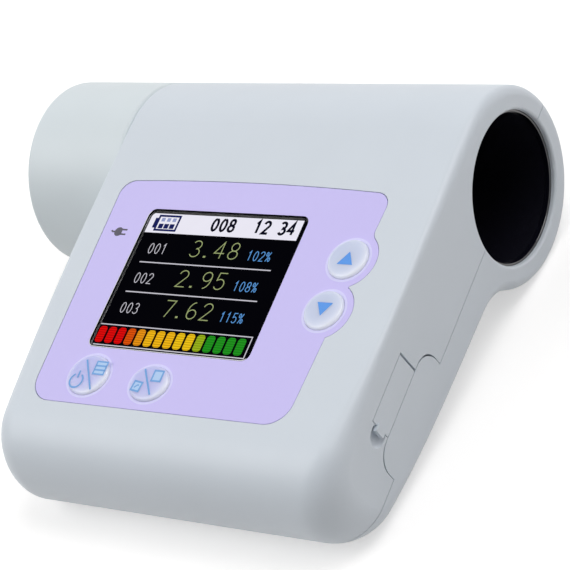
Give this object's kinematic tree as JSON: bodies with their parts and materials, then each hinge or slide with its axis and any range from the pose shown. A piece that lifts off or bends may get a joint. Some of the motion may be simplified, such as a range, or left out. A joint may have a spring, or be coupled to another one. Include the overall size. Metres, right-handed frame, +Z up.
{
  "type": "spirometer",
  "caption": "Hand-held spirometer: slab case under a round breathing tube, with a colour display, soft keys, a hinged port cover and a turbine cartridge that slides out.",
  "frame": {"origin": "centre of the footprint, on the surface that the device lies on", "axes": "+X along the breathing tube towards the outlet end, +Y from the keys towards the tube, +Z up; the device lies on its back and the display leans 12.9 degrees towards -Y"},
  "size_m": [0.1006, 0.0914, 0.036],
  "materials": {
    "case_plastic": "satin moulded ABS",
    "collar_plastic": "satin moulded plastic",
    "panel_film": "printed film",
    "lens": "clear",
    "screen": "glass",
    "backlight": "white",
    "sheet_metal": "plated sheet",
    "foam": "foam",
    "key_plastic": "translucent",
    "switch_black": "moulded",
    "board_green": "solder mask",
    "connector_cream": "moulded",
    "amber_flex": "polyimide",
    "diode_clear": "epoxy",
    "cell_wrap": "foil pouch",
    "steel": "plated",
    "turbine_black": "infrared-clear black",
    "vane_black": "moulded",
    "jewel": "polished",
    "light_guide": "clear"
  },
  "bodies": {
    "housing": {"front_shell": "case_plastic", "rear_shell": "case_plastic", "overlay_panel": "panel_film", "display_window": "lens", "display_gasket": "foam", "lcd_glass": "screen", "lcd_backlight": "backlight", "lcd_frame": "sheet_metal", "display_flex": "amber_flex", "key_switches": "sheet_metal", "main_board": "board_green", "main_chip": "switch_black", "sensor_header": "connector_cream", "battery_header": "connector_cream", "buzzer": "switch_black", "display_header": "connector_cream", "charge_led": "diode_clear", "charge_light_pipe": "light_guide", "usb_socket": "sheet_metal", "usb_tongue": "switch_black", "usb_cover_pin": "steel", "battery_cell": "cell_wrap", "sensor_flex": "amber_flex", "ir_emitters": "diode_clear", "ir_receivers": "diode_clear", "case_screws": "steel", "board_screws": "steel"},
    "up_key": {"key_up": "key_plastic", "up_plunger": "switch_black"},
    "down_key": {"key_down": "key_plastic", "down_plunger": "switch_black"},
    "power_key": {"key_power": "key_plastic", "power_plunger": "switch_black"},
    "confirm_key": {"key_confirm": "key_plastic", "confirm_plunger": "switch_black"},
    "cover": {"usb_cover": "case_plastic"},
    "cartridge": {"turbine_collar": "collar_plastic", "turbine_barrel": "turbine_black", "inlet_stator": "turbine_black", "outlet_stator": "turbine_black", "inlet_jewel": "jewel", "outlet_jewel": "jewel"},
    "rotor": {"rotor_vane": "vane_black", "rotor_shaft": "steel"}
  },
  "joints": [
    {"name": "up_key_press", "type": "slide", "parent": "housing", "child": "up_key", "axis": [0, 0.2243, -0.9745], "range_m": [0, 0.0005], "stiffness_N_per_m": 600, "springref_m": -0.0002},
    {"name": "down_key_press", "type": "slide", "parent": "housing", "child": "down_key", "axis": [0, 0.2243, -0.9745], "range_m": [0, 0.0005], "stiffness_N_per_m": 600, "springref_m": -0.0002},
    {"name": "power_key_press", "type": "slide", "parent": "housing", "child": "power_key", "axis": [0, 0.2243, -0.9745], "range_m": [0, 0.0005], "stiffness_N_per_m": 600, "springref_m": -0.0002},
    {"name": "confirm_key_press", "type": "slide", "parent": "housing", "child": "confirm_key", "axis": [0, 0.2243, -0.9745], "range_m": [0, 0.0005], "stiffness_N_per_m": 600, "springref_m": -0.0002},
    {"name": "cover_hinge", "type": "hinge", "parent": "housing", "child": "cover", "pos_m": [0.04943, -0.01566, 0.01823], "axis": [0, -0.2243, 0.9745], "range_deg": [0, 90]},
    {"name": "cartridge_slide", "type": "slide", "parent": "housing", "child": "cartridge", "axis": [-1, 0, 0], "range_m": [0, 0.085]},
    {"name": "rotor_spin", "type": "hinge", "parent": "cartridge", "child": "rotor", "pos_m": [0.00603, 0.0277, 0.018], "axis": [1, 0, 0], "continuous": true}
  ]
}
